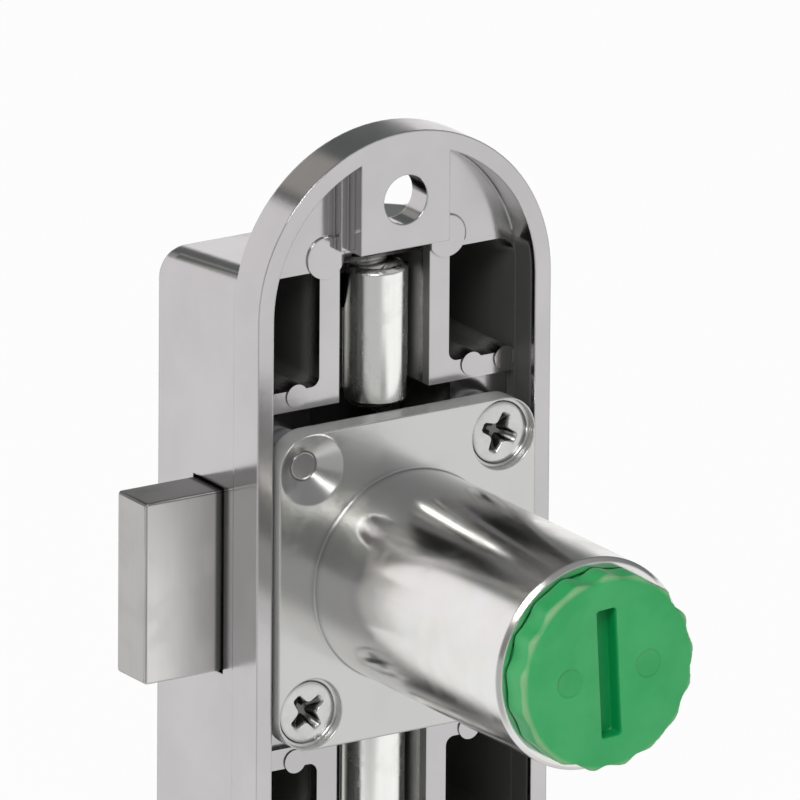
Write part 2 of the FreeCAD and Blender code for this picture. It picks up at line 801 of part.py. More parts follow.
def involute_point(base, angle, turn):
    # A point of an involute of the base circle, turned about the centre
    x = base * (math.cos(angle) + angle * math.sin(angle))
    y = base * (math.sin(angle) - angle * math.cos(angle))
    return Vector(x * math.cos(turn) - y * math.sin(turn), 0, x * math.sin(turn) + y * math.cos(turn))


def gear_face():
    # Involute teeth in the XZ plane, the first one centred on +Z
    pitch, tip, root = pitch_radius.value, tip_radius.value, root_radius.value
    pressure = math.radians(d.tooth_angle.value)
    base = pitch * math.cos(pressure)
    half_tooth = (math.pi / 2 - d.tooth_play.value / 2 / d.tooth_module.value) / d.tooth_count.value
    flank_turn = half_tooth + math.tan(pressure) - pressure
    tip_roll = math.sqrt((tip / base) ** 2 - 1)
    count = round(d.tooth_count.value)
    steps = 4
    edges = []
    for index in range(count):
        centre = math.pi / 2 + 2 * math.pi * index / count
        rising = [involute_point(base, tip_roll * step / steps, centre - flank_turn)
                  for step in range(steps + 1)]
        falling = [involute_point(base, tip_roll * step / steps, 0) for step in range(steps + 1)]
        falling = [turned_point(Vector(p.x, 0, -p.z), centre + flank_turn) for p in falling]
        root_start = turned_point(Vector(root, 0, 0), centre - flank_turn)
        root_end = turned_point(Vector(root, 0, 0), centre + flank_turn)
        following = turned_point(Vector(root, 0, 0), centre + 2 * math.pi / count - flank_turn)
        valley = turned_point(Vector(root, 0, 0), centre + math.pi / count)
        edges.append(Part.LineSegment(root_start, rising[0]).toShape())
        edges += flank_edges(rising)
        crown = turned_point(Vector(tip, 0, 0), centre)
        edges.append(Part.Arc(rising[-1], crown, falling[-1]).toShape())
        edges += flank_edges(falling[::-1])
        edges.append(Part.LineSegment(falling[0], root_end).toShape())
        edges.append(Part.Arc(root_end, valley, following).toShape())
    return Part.Face(Part.Wire(edges))


def turned_point(point, angle):
    x = point.x * math.cos(angle) - point.z * math.sin(angle)
    z = point.x * math.sin(angle) + point.z * math.cos(angle)
    return Vector(x, 0, z)


def flank_edges(points):
    return [Part.LineSegment(one, other).toShape() for one, other in zip(points, points[1:])]


def make_pinion():
    gear_front = bolt_front + 0.05
    teeth = gear_face().extrude(Vector(0, slide_back.value - gear_front.value, 0))
    teeth.translate(Vector(0, gear_front.value, 0))
    along = Vector(0, 1, 0)
    cam = Part.makeBox(d.cam_width.value, d.cam_length.value, d.cam_width.value,
                       Vector(-half_cam.value, cam_front.value, -half_cam.value))
    upright = [edge for edge in cam.Edges if abs(edge.BoundBox.YLength - d.cam_length.value) < 1e-6]
    cam = cam.makeFillet(d.cam_corner.value, upright)
    hub = Part.makeCylinder(root_radius.value, gear_front.value - cam_back.value + 0.2,
                            Vector(0, cam_back.value - 0.1, 0), along)
    journal = Part.makeCylinder(d.journal_width.value / 2, box_back.value - slide_back.value,
                                Vector(0, slide_back.value - 0.1, 0), along)
    side = d.square_width.value + d.running_clearance.value * 2
    socket = Part.makeBox(side, d.square_depth.value + 0.2, side,
                          Vector(-side / 2, cam_front.value - 0.1, -side / 2))
    pinion = doc.addObject("Part::Feature", "drive_pinion")
    pinion.Label = "drive_pinion"
    pinion.Shape = teeth.fuse([cam, hub, journal]).removeSplitter().cut(socket)
    return pinion


def rack_gap(along, tip_line, root_line, turned_over):
    # One tooth space of a rack as corner pairs (along, across), cut from the tip line to the root
    slope = math.tan(math.radians(d.tooth_angle.value))
    middle_half = tooth_pitch / 4 + d.tooth_play / 4
    wide = middle_half + (pitch_radius - tip_line) * slope
    narrow = middle_half - (root_line - pitch_radius) * slope
    corners = [(along - wide, tip_line), (along + wide, tip_line),
               (along + narrow, root_line), (along - narrow, root_line)]
    if turned_over:
        corners = [(across, up) for up, across in reversed(corners)]
    return corners


def make_deadbolt():
    body = new_body("deadbolt")
    left = -half_flange - travel
    head_right = left + d.bolt_head_length
    rack_start = -tooth_pitch * 4.5 - 0.3
    rack_end = tooth_pitch * 1.5 + 0.6
    lower_inner = tip_radius + d.bolt_clearance + 0.15
    pad(body, "bolt_form", "XZ_Plane", bolt_front, bolt_back, [[
        (left, -half_bolt), (head_right, -half_bolt), (head_right, -arm_outer),
        (rack_end, -arm_outer), (rack_end, -lower_inner), (head_right, -lower_inner),
        (head_right, rack_root - 0.1), (rack_start, rack_root - 0.1), (rack_start, rack_tip),
        (rack_end, rack_tip), (rack_end, arm_outer), (head_right, arm_outer),
        (head_right, half_bolt), (left, half_bolt),
    ]])
    gap = rack_gap(-tooth_pitch * 4, rack_tip - 0.01, rack_root, False)
    cut = pocket(body, "first_tooth_gap", "XZ_Plane", bolt_front, bolt_back, [gap])
    doc.recompute()
    teeth = body.newObject("PartDesign::LinearPattern", "rack_teeth")
    teeth.Originals = [cut]
    teeth.Direction = (origin_part(body, "X_Axis"), [""])
    teeth.Occurrences = 6
    teeth.setExpression("Length", (tooth_pitch * 5).text)
    body.Tip = teeth
    last = softened(body, "head_edges", "Fillet", teeth, d.bolt_edge,
                    lambda edge: in_plane(edge, "X", left))
    body.Tip = last
    return body


def make_rack_slide(name, turn):
    body = new_body(name)
    bottom = -tooth_pitch * 1.5 - 0.3
    half_tab = rack_tip - d.slide_tab_gap
    pad(body, "slide_form", "XZ_Plane", slide_front, slide_back, [[
        (rack_tip, bottom), (slide_outer, bottom), (slide_outer, slide_foot_top),
        (half_tab, slide_foot_top), (half_tab, connector_top), (-half_tab, connector_top),
        (-half_tab, slide_foot_low), (rack_tip, slide_foot_low),
    ]])
    gap = rack_gap(-tooth_pitch, rack_tip - 0.01, rack_root, True)
    cut = pocket(body, "first_tooth_gap", "XZ_Plane", slide_front, slide_back, [gap])
    doc.recompute()
    teeth = body.newObject("PartDesign::LinearPattern", "rack_teeth")
    teeth.Originals = [cut]
    teeth.Direction = (origin_part(body, "Z_Axis"), [""])
    teeth.Occurrences = 6
    teeth.setExpression("Length", (tooth_pitch * 5).text)
    body.Tip = teeth
    last = pocket(body, "rivet_hole", "XZ_Plane", slide_front, slide_back,
                  [(0, rivet_up, d.rivet_width / 2)])
    body.Tip = last
    body.Placement.Rotation = FreeCAD.Rotation(Vector(0, 1, 0), turn)
    return body


def make_connector(name, turn):
    # A round nose fills the window, and the block behind it is tapped for the rod
    body = new_body(name)
    pad(body, "block", "XZ_Plane", bolt_front, slide_front,
        [rectangle(-half_connector, half_connector, connector_foot, connector_top)])
    radius = d.nose_width / 2
    foot = connector_foot - d.slide_gap * 0.75
    low = foot - d.nose_lip
    top = connector_top + d.nose_overhang
    turned(body, "nose", "Revolution", "XZ_Plane", nose_depth, [
        (0, low), (radius - d.nose_edge, low), (radius, low + d.nose_edge),
        (radius, top - d.nose_edge), (radius - d.nose_edge, top), (0, top),
    ])
    # Behind the bolt's front face the nose is shorter, to pass the bolt and the case's end
    pocket(body, "nose_relief", "XZ_Plane", bolt_front - d.slide_gap, slide_front,
           [rectangle(-radius - 1, radius + 1, low - 1, foot),
            rectangle(-radius - 1, radius + 1, connector_top + d.slide_gap, top + 1)])
    thread = d.rod_thread / 2
    pocket(body, "rod_thread_hole", "XY_Plane", connector_foot + d.rod_stop, top + 1,
           [(0, rod_depth, thread)])
    last = pocket(body, "rivet_hole", "XZ_Plane", rivet_front - d.end_play, slide_front,
                  [(0, rivet_up, d.rivet_width / 2)])
    body.Tip = last
    body.Placement.Rotation = FreeCAD.Rotation(Vector(0, 1, 0), turn)
    return body


def make_rivet(name, turn):
    body = new_body(name)
    head_back = slide_back + d.rivet_head_thickness
    sketch = new_sketch(body, "shank_outline", "XZ_Plane", slide_back)
    draw_circle(sketch, 0, rivet_up, d.rivet_width / 2)
    shank = body.newObject("PartDesign::Pad", "shank")
    shank.Profile = sketch
    shank.setExpression("Length", (slide_back - rivet_front).text)
    head = pad(body, "head", "XZ_Plane", slide_back, head_back, [(0, rivet_up, d.rivet_head / 2)])
    body.Tip = head
    body.Placement.Rotation = FreeCAD.Rotation(Vector(0, 1, 0), turn)
    return body


def make_plug():
    body = new_body("dummy_plug")
    cap = barrel_radius - d.plug_cap_inset
    back = -d.barrel_length - d.end_play
    front = back - d.plug_cap_thickness
    stem = bore_radius - d.plug_clearance
    stem_end = back + d.plug_stem_length
    edge = d.plug_cap_edge
    turned(body, "cap_and_stem", "Revolution", "XY_Plane", 0, [
        (0, front), (cap - edge, front), (cap, front + edge), (cap, back), (stem, back),
        (stem, stem_end), (0, stem_end),
    ])
    # The stem is a moulded cup, open towards the driver
    pocket(body, "hollow_stem", "XZ_Plane", back + d.plug_wall, stem_end + 1,
           [(0, 0, stem - d.plug_wall)])
    # Shallow scallops round the cap
    bite_radius = (d.plug_scallop_width * d.plug_scallop_width / 4
                   + d.plug_scallop_depth * d.plug_scallop_depth) / (d.plug_scallop_depth * 2)
    bite_place = cap + bite_radius - d.plug_scallop_depth
    bite = pocket(body, "first_scallop", "XZ_Plane", front - 0.1, back, [(0, bite_place, bite_radius)])
    doc.recompute()
    ring = body.newObject("PartDesign::PolarPattern", "scallops")
    ring.Originals = [bite]
    ring.Axis = (origin_part(body, "Y_Axis"), [""])
    ring.Angle = 360
    ring.Occurrences = dimensions["plug_scallops"]
    body.Tip = ring
    doc.recompute()
    half_slot, half_long = d.plug_slot_width / 2, d.plug_slot_length / 2
    last = pocket(body, "driver_slot", "XZ_Plane", front - 0.1, front + d.plug_slot_depth,
                  [rectangle(-half_slot, half_slot, -half_long, half_long)])
    body.Tip = last
    body.Placement.Rotation = FreeCAD.Rotation(Vector(0, 1, 0), dimensions["plug_slot_turn"])
    return body


nodes = [
    make_case(), make_housing(), make_screws(), make_stop_pin(), make_detent_spring(),
    make_rear_bush(), make_driver(), make_washer(), make_clip(), make_pinion(), make_plug(),
    make_deadbolt(),
]
for place, turn in (("upper", 0), ("lower", 180)):
    nodes.append(make_rack_slide(f"{place}_rack_slide", turn))
    nodes.append(make_connector(f"{place}_rod_connector", turn))
    nodes.append(make_rivet(f"{place}_connector_rivet", turn))

doc.recompute()


def check_document():
    for item in doc.Objects:
        if "Invalid" in item.State or "Error" in item.State:
            raise RuntimeError(f"{item.Name} ({item.Label}) failed: {item.State}")
    for node in nodes:
        shape = node.Shape
        if shape.isNull() or not shape.isValid():
            raise RuntimeError(f"{node.Label} has no valid shape")
        print(f"{node.Label}: {len(shape.Solids)} solid, {shape.Volume:.1f} mm3")


check_document()
os.makedirs("parts", exist_ok=True)
for node in nodes:
    node.Shape.exportStep(f"parts/{node.Label}.step")
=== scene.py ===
import math
import random

import bmesh
import bpy
from mathutils import Matrix, Vector


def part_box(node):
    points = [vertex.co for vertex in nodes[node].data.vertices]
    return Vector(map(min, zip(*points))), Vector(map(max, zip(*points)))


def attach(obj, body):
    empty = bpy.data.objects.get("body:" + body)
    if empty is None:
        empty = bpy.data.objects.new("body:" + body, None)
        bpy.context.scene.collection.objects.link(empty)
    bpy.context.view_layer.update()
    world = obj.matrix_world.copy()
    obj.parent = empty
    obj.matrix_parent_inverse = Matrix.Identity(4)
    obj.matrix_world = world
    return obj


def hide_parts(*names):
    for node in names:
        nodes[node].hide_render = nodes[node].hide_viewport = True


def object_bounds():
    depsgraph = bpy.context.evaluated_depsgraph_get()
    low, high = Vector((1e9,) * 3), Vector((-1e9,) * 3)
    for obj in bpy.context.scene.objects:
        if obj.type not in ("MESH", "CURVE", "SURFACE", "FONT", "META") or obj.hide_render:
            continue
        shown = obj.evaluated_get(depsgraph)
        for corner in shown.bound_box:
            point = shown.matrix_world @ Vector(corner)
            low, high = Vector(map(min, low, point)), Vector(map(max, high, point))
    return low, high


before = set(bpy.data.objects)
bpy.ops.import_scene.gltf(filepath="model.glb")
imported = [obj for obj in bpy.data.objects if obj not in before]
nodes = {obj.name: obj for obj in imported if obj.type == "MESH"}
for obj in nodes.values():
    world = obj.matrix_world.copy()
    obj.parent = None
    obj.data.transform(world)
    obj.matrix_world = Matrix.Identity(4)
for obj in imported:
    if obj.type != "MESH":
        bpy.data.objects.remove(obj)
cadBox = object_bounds()
mm = 0.001
print("frame loaded")


# Camera: almost parallel, from the left, the front and above

camera = {
    "yaw": 32.81,  # degrees to the left of the barrel's axis
    "lift": 18.12,  # degrees above the horizon
    "roll": 0.41,
    "distance": 2.1,
    "pixelsPerMm": 12.19,  # at the origin
    "originPixel": (403.2, 572.15),
    "imageSize": 800,
    "sensorMm": 36,
    "clipEnd": 100,
}


def makeCamera():
    yaw, lift, roll = (math.radians(camera[name]) for name in ("yaw", "lift", "roll"))
    level = math.cos(lift)
    back = Vector((-math.sin(yaw) * level, -math.cos(yaw) * level, math.sin(lift)))
    right = Vector((math.cos(yaw), -math.sin(yaw), 0))
    up = back.cross(right)
    rolledRight = right * math.cos(roll) + up * math.sin(roll)
    rolledUp = up * math.cos(roll) - right * math.sin(roll)
    middle = camera["imageSize"] / 2
    metresPerPixel = mm / camera["pixelsPerMm"]
    across = (middle - camera["originPixel"][0]) * metresPerPixel
    down = (middle - camera["originPixel"][1]) * metresPerPixel
    target = rolledRight * across - rolledUp * down
    place = back * camera["distance"]
    toCamera = (place - target).normalized()
    rolledRight = (rolledRight - toCamera * rolledRight.dot(toCamera)).normalized()
    rolledUp = toCamera.cross(rolledRight)
    data = bpy.data.cameras.new("camera")
    data.sensor_width = camera["sensorMm"]
    focalPixels = camera["distance"] / metresPerPixel
    data.lens = focalPixels * data.sensor_width / camera["imageSize"]
    data.clip_end = camera["clipEnd"]
    item = bpy.data.objects.new("camera", data)
    bpy.context.collection.objects.link(item)
    axes = Matrix((rolledRight, rolledUp, toCamera)).transposed().to_4x4()
    item.matrix_world = Matrix.Translation(place) @ axes
    bpy.context.scene.camera = item


makeCamera()
print("camera placed")


# Small helpers for node trees

def addNode(tree, kind, settings=None, **inputs):
    node = tree.nodes.new(f"ShaderNode{kind}")
    for name, value in (settings or {}).items():
        setattr(node, name, value)
    for name, value in inputs.items():
        plug(tree, value, node.inputs[name.replace("_", " ")])
    return node


def plug(tree, value, socket):
    if isinstance(value, bpy.types.NodeSocket):
        tree.links.new(value, socket)
    else:
        socket.default_value = value


def calculate(tree, operation, *values):
    node = addNode(tree, "Math", {"operation": operation})
    for socket, value in zip(node.inputs, values):
        plug(tree, value, socket)
    return node.outputs[0]


def multiply(tree, product, *factors):
    for factor in factors:
        product = calculate(tree, "MULTIPLY", product, factor)
    return product


def vectorMath(tree, operation, *values):
    node = addNode(tree, "VectorMath", {"operation": operation})
    for socket, value in zip(node.inputs, values):
        plug(tree, value, socket)
    return node.outputs


def remap(tree, value, fromLow, fromHigh, toLow=0.0, toHigh=1.0):
    node = addNode(tree, "MapRange", {"interpolation_type": "SMOOTHSTEP"})
    for socket, number in zip(node.inputs, (value, fromLow, fromHigh, toLow, toHigh)):
        plug(tree, number, socket)
    return node.outputs[0]


def fade(tree, mask, without, within):
    # One value where the mask is 0, the other where it is 1
    return remap(tree, mask, 0.0, 1.0, without, within)


def mixColours(tree, factor, first, second, blend="MIX"):
    node = addNode(tree, "Mix", {"data_type": "RGBA", "blend_type": blend})
    plug(tree, factor, node.inputs[0])
    plug(tree, first, node.inputs[6])
    plug(tree, second, node.inputs[7])
    return node.outputs[2]


def placeAndAxes(tree, source="Object"):
    place = addNode(tree, "TexCoord").outputs[source]
    return place, addNode(tree, "SeparateXYZ", Vector=place).outputs


def arrangeNodes(tree, perRow=8, width=220, height=240):
    for number, node in enumerate(tree.nodes):
        node.location = (width * (number % perRow), -height * (number // perRow))


def newGroup(name, inputs, outputs):
    tree = bpy.data.node_groups.new(name, "ShaderNodeTree")
    kinds = {"value": "NodeSocketFloat", "vector": "NodeSocketVector"}
    for socketName, (kind, value) in inputs.items():
        socket = tree.interface.new_socket(socketName, in_out="INPUT", socket_type=kinds[kind])
        socket.default_value = value
    for socketName, kind in outputs.items():
        tree.interface.new_socket(socketName, in_out="OUTPUT", socket_type=kinds[kind])
    given = tree.nodes.new("NodeGroupInput").outputs
    return tree, given, tree.nodes.new("NodeGroupOutput").inputs


def useGroup(tree, group, **inputs):
    node = tree.nodes.new("ShaderNodeGroup")
    node.node_tree = group
    for name, value in inputs.items():
        plug(tree, value, node.inputs[name])
    return node.outputs


# Studio: white paper below, and a room that only the reflections show

studio = {
    "paper": (1.0, 0.98, 0.99, 1),
    "ceiling": (0.15, 0.16, 0.155, 1),
    "horizon": (0.34, 0.42),  # sine of the height at which the paper behind gives way
    "horizonLean": 0.26,  # how far that edge falls towards the right
    "roomLow": (0.86, 0.86, 0.86, 1),
    "roomHigh": (0.30, 0.30, 0.31, 1),
    "roomEdges": (-0.28, 0.55),
    "roomLeft": (0.24, 0.245, 0.24, 1),
    "leftEdges": (0.10, -0.25),
    "frontEdges": (0.15, -0.35),  # the paper and ceiling are behind, the room in front
    "stripDirection": (-0.116, 0.799, 0.59),
    "stripColour": (0.44, 0.43, 0.40, 1),
    "stripEdges": (0.975, 0.991),
    "boxDirection": (-0.46, -0.56, 0.66),
    "boxColour": (2.1, 2.08, 2.05, 1),
    "boxEdges": (0.95, 0.985),
    "floorColour": (0.95, 0.95, 0.95, 1),
    "floorRoughness": 0.8,
    "floorGlow": 0.96,
    "floorShadowReach": (25 * mm, 60 * mm),  # painted shadow under the object, which the floor shows only in reflections
    "floorShadowShare": 0.30,
    "floorShadeFrontLeft": (-5 * mm, -50 * mm),  # and painted shade to the left in front, also only in reflections
    "floorShadeFrontLeftShare": 0.50,
    "floorHalf": 3.0,
    "floorDrop": 0.5 * mm,
    "lampPlace": (-0.42, -0.52, 0.62),
    "lampSize": 0.35,
    "lampPower": 2.2,
}


def makeFloor():
    half, low = studio["floorHalf"], cadBox[0][2] - studio["floorDrop"]
    corners = [(x * half, y * half, low) for x, y in ((-1, -1), (1, -1), (1, 1), (-1, 1))]
    data = bpy.data.meshes.new("floor")
    data.from_pydata(corners, [], [(0, 1, 2, 3)])
    item = bpy.data.objects.new("floor", data)
    bpy.context.collection.objects.link(item)
    material, tree = newFinish("palePaper", Base_Color=studio["floorColour"],
                               Roughness=studio["floorRoughness"])[:2]
    place, axes = placeAndAxes(tree)
    reach = vectorMath(tree, "LENGTH", place)["Value"]
    # Painted shade on the floor for glossy rays: a shadow under the object, and darker to the
    # left in front
    floorUnshaded = remap(tree, reach, *studio["floorShadowReach"], studio["floorShadowShare"], 1.0)
    left = multiply(tree, *(remap(tree, axes[name], *studio["floorShadeFrontLeft"]) for name in "XY"))
    floorUnshaded = multiply(tree, floorUnshaded, fade(tree, left, 1.0, studio["floorShadeFrontLeftShare"]))
    path = addNode(tree, "LightPath").outputs
    dark = multiply(tree, path["Is Glossy Ray"], calculate(tree, "SUBTRACT", 1.0, floorUnshaded))
    glow = addNode(tree, "Emission", Color=(1, 1, 1, 1),
                   Strength=calculate(tree, "SUBTRACT", 1.0, dark))
    seen = calculate(tree, "MAXIMUM", path["Is Camera Ray"], path["Is Glossy Ray"])
    seen = calculate(tree, "MAXIMUM", seen, path["Is Transmission Ray"])
    mix = addNode(tree, "MixShader")
    plug(tree, multiply(tree, seen, studio["floorGlow"]), mix.inputs[0])
    plug(tree, tree.nodes["Principled BSDF"].outputs[0], mix.inputs[1])
    plug(tree, glow.outputs[0], mix.inputs[2])
    plug(tree, mix.outputs[0], tree.nodes["Material Output"].inputs[0])
    arrangeNodes(tree)
    data.materials.append(material)


def spotMask(tree, place, name):
    # 1 around the direction of the box or the strip, 0 elsewhere
    direction = Vector(studio[f"{name}Direction"]).normalized()
    towards = vectorMath(tree, "DOT_PRODUCT", place, direction)["Value"]
    return remap(tree, towards, *studio[f"{name}Edges"])


def makeWorld():
    world = bpy.data.worlds.new("studio")
    bpy.context.scene.world = world
    world.use_nodes = True
    tree = world.node_tree
    place, axes = placeAndAxes(tree, "Generated")
    leaning = calculate(tree, "MULTIPLY_ADD", axes["X"], studio["horizonLean"], axes["Z"])
    above = remap(tree, leaning, *studio["horizon"])
    behind = mixColours(tree, above, studio["paper"], studio["ceiling"])
    behind = mixColours(tree, spotMask(tree, place, "strip"), behind, studio["stripColour"])
    high = remap(tree, axes["Z"], *studio["roomEdges"])
    front = mixColours(tree, high, studio["roomLow"], studio["roomHigh"])
    left = remap(tree, axes["X"], *studio["leftEdges"])
    front = mixColours(tree, left, front, studio["roomLeft"])
    forward = remap(tree, axes["Y"], *studio["frontEdges"])
    room = mixColours(tree, forward, behind, front)
    room = mixColours(tree, spotMask(tree, place, "box"), room, studio["boxColour"])
    path = addNode(tree, "LightPath").outputs
    seen = mixColours(tree, path["Is Camera Ray"], room, (1, 1, 1, 1))
    plug(tree, seen, tree.nodes["Background"].inputs["Color"])
    arrangeNodes(tree)


def makeLamp():
    data = bpy.data.lights.new("softBoxLeft", "AREA")
    data.shape = "RECTANGLE"
    data.size = data.size_y = studio["lampSize"]
    data.energy = studio["lampPower"]
    item = bpy.data.objects.new("softBoxLeft", data)
    item.location = studio["lampPlace"]
    item.rotation_euler = (-item.location).to_track_quat("-Z", "Y").to_euler()
    bpy.context.collection.objects.link(item)


def newFinish(name, **fixed):
    material = bpy.data.materials.new(name)
    material.use_nodes = True
    tree = material.node_tree
    surface = tree.nodes["Principled BSDF"]
    for socket, value in fixed.items():
        surface.inputs[socket.replace("_", " ")].default_value = value
    return material, tree, surface.inputs


makeFloor()
makeWorld()
makeLamp()
bpy.context.scene.view_settings.view_transform = "Standard"
print("studio set")


# Effects that several finishes share

maskEdges = {
    # where the value under each mask gives 0 and 1
    "clouds": (0.3, 0.7),
    "smears": (0.42, 0.68),
    "shadedCrevices": (0.88, 0.22),
}


def makeCastSkin():
    # The faint orange skin and cloudy shine of plated die casting
    tree, given, out = newGroup("castSkin", {
        "scale": ("value", 900.0), "cloudScale": ("value", 90.0), "detail": ("value", 3.0),
    }, {"height": "value", "clouds": "value"})
    place = addNode(tree, "TexCoord").outputs["Object"]
    fine = addNode(tree, "TexNoise", Vector=place, Scale=given["scale"], Detail=given["detail"])
    cloudy = addNode(tree, "TexNoise", Vector=place, Scale=given["cloudScale"], Detail=4.0,
                     Roughness=0.6)
    plug(tree, fine.outputs["Fac"], out["height"])
    plug(tree, remap(tree, cloudy.outputs["Fac"], *maskEdges["clouds"]), out["clouds"])
    arrangeNodes(tree)
    return tree


def makeDrawnLines():
    # Fine marks along one axis, from drawing, rolling or polishing
    tree, given, out = newGroup("drawnLines", {
        "stretch": ("vector", (3000.0, 3000.0, 60.0)), "contrast": ("value", 0.5),
    }, {"height": "value", "tone": "value"})
    place = addNode(tree, "TexCoord").outputs["Object"]
    drawn = vectorMath(tree, "MULTIPLY", place, given["stretch"])["Vector"]
    lines = addNode(tree, "TexNoise", Vector=drawn, Scale=1.0, Detail=3.0, Roughness=0.65)
    middle = calculate(tree, "SUBTRACT", lines.outputs["Fac"], 0.5)
    plug(tree, lines.outputs["Fac"], out["height"])
    plug(tree, calculate(tree, "MULTIPLY_ADD", middle, given["contrast"], 0.5), out["tone"])
    arrangeNodes(tree)
    return tree


def makeHandling():
    # Smears of wiping and touching, which only change the shine
    tree, given, out = newGroup("handling", {
        "scale": ("value", 120.0), "low": ("value", 0.14), "high": ("value", 0.3),
    }, {"roughness": "value"})
    place = addNode(tree, "TexCoord").outputs["Object"]
    smear = addNode(tree, "TexNoise", Vector=place, Scale=given["scale"], Detail=5.0,
                    Roughness=0.55, Distortion=0.6)
    mask = remap(tree, smear.outputs["Fac"], *maskEdges["smears"])
    plug(tree, fade(tree, mask, given["low"], given["high"]), out["roughness"])
    arrangeNodes(tree)
    return tree


def makeCreviceShade():
    # Painted shade in gaps, grooves and inner corners, where ambient occlusion is low
    tree, given, out = newGroup("creviceShade", {
        "distance": ("value", 0.8 * mm), "strength": ("value", 0.85),
    }, {"mask": "value"})
    shade = addNode(tree, "AmbientOcclusion", {"samples": 8}, Distance=given["distance"])
    narrow = remap(tree, shade.outputs["AO"], *maskEdges["shadedCrevices"])
    plug(tree, multiply(tree, narrow, given["strength"]), out["mask"])
    arrangeNodes(tree)
    return tree


castSkin = makeCastSkin()
drawnLines = makeDrawnLines()
handling = makeHandling()
creviceShade = makeCreviceShade()
print("effects built")


# Finishes

# Painted shade: the colour turns towards a dark shade colour in crevices
def addPaintedShade(tree, tone, finish):
    shaded = useGroup(tree, creviceShade, distance=finish["paintedShadeReach"], strength=finish["paintedShadeShare"])
    return mixColours(tree, shaded["mask"], tone, finish["paintedShade"])


def addSmears(tree, scale, roughness):
    low, high = roughness
    return useGroup(tree, handling, scale=scale, low=low, high=high)["roughness"]


def bumpFrom(tree, height, strength, distance, edgeRadius=None):
    bump = addNode(tree, "Bump", Height=height, Strength=strength, Distance=distance)
    if edgeRadius is not None:
        rounded = addNode(tree, "Bevel", {"samples": 6}, Radius=edgeRadius)
        plug(tree, rounded.outputs[0], bump.inputs["Normal"])
    return bump.outputs[0]


caseFinish = {
    "light": (0.57, 0.555, 0.56, 1),
    "cloud": (0.52, 0.51, 0.515, 1),
    # painted shade in crevices and inner corners
    "paintedShade": (0.05, 0.052, 0.048, 1),
    "paintedShadeReach": 0.8 * mm,
    "paintedShadeShare": 0.65,
    "roughness": (0.13, 0.23),
    "skinScale": 1100.0,
    "cloudScale": 70.0,
    "smearScale": 90.0,
    "skinBump": 0.35,
    "skinDepth": 0.012 * mm,
    "edgeRadius": 0.24 * mm,
    # painted shade deep in the hollow: the colour turns dark there, and the metal is duller and
    # rougher
    "deep": (0.125, 0.13, 0.12, 1),
    "deepMetal": 0.25,
    "deepRougher": 0.35,
    "hollowHalf": (12.95 * mm, 26.6 * mm),
    "hollowEdge": 0.13 * mm,
    "endSlope": 0.092,  # the hollow gets lower towards its back
    "deepFrom": (3.0 * mm, 6.5 * mm),
    "deepUntil": (14.9 * mm, 14.6 * mm),
    "wallAcross": (12.35 * mm, 12.55 * mm),  # painted shade on the side walls, from near the front
    "wallDepth": (0.3 * mm, 0.9 * mm),
    "channelAcross": (4.45 * mm, 4.3 * mm),  # and in the way of the rods
    "channelAlong": (27.4 * mm, 27.15 * mm),
    "channelFront": (1.2 * mm, 2.0 * mm),
    "channelBack": (4.3 * mm, 3.9 * mm),
    "sharpFrom": (1.9 * mm, 2.3 * mm),  # deeper in, the edges have no rounding
}


def makeCaseNickel():
    finish = caseFinish
    material, tree, sockets = newFinish("caseNickel", Metallic=1.0)
    skin = useGroup(tree, castSkin, scale=finish["skinScale"], cloudScale=finish["cloudScale"])
    axes = placeAndAxes(tree)[1]
    across, along = (calculate(tree, "ABSOLUTE", axes[name]) for name in "XZ")

    def inDepth(name):
        return remap(tree, axes["Y"], *finish[name])

    halfWide, halfHigh = finish["hollowHalf"]
    edge = finish["hollowEdge"]
    sloped = calculate(tree, "MULTIPLY_ADD", axes["Y"], finish["endSlope"], along)
    halfHigh += finish["endSlope"] * finish["deepFrom"][0]
    inside = multiply(tree, remap(tree, across, halfWide + edge, halfWide - edge),
                      remap(tree, sloped, halfHigh + edge, halfHigh - edge))
    wall = multiply(tree, remap(tree, across, *finish["wallAcross"]), inDepth("wallDepth"))
    dullAndShaded = multiply(tree, inside, calculate(tree, "MAXIMUM", inDepth("deepFrom"), wall))
    channel = multiply(tree, remap(tree, across, *finish["channelAcross"]),
                       remap(tree, along, *finish["channelAlong"]),
                       inDepth("channelFront"), inDepth("channelBack"))
    dullAndShaded = multiply(tree, calculate(tree, "MAXIMUM", dullAndShaded, channel), inDepth("deepUntil"))
    plated = mixColours(tree, skin["clouds"], finish["light"], finish["cloud"])
    # Painted shade: the dark colour deep in the hollow, on its side walls and in the rods' way
    tone = mixColours(tree, dullAndShaded, addPaintedShade(tree, plated, finish), finish["deep"])
    plug(tree, tone, sockets["Base Color"])
    plug(tree, fade(tree, dullAndShaded, 1.0, finish["deepMetal"]), sockets["Metallic"])
    shine = addSmears(tree, finish["smearScale"], finish["roughness"])
    rougher = fade(tree, dullAndShaded, 0.0, finish["deepRougher"])
    plug(tree, calculate(tree, "ADD", shine, rougher), sockets["Roughness"])
    radius = fade(tree, multiply(tree, inside, inDepth("sharpFrom")), finish["edgeRadius"], 0.0)
    normal = bumpFrom(tree, skin["height"], finish["skinBump"], finish["skinDepth"], radius)
    plug(tree, normal, sockets["Normal"])
    arrangeNodes(tree)
    return material


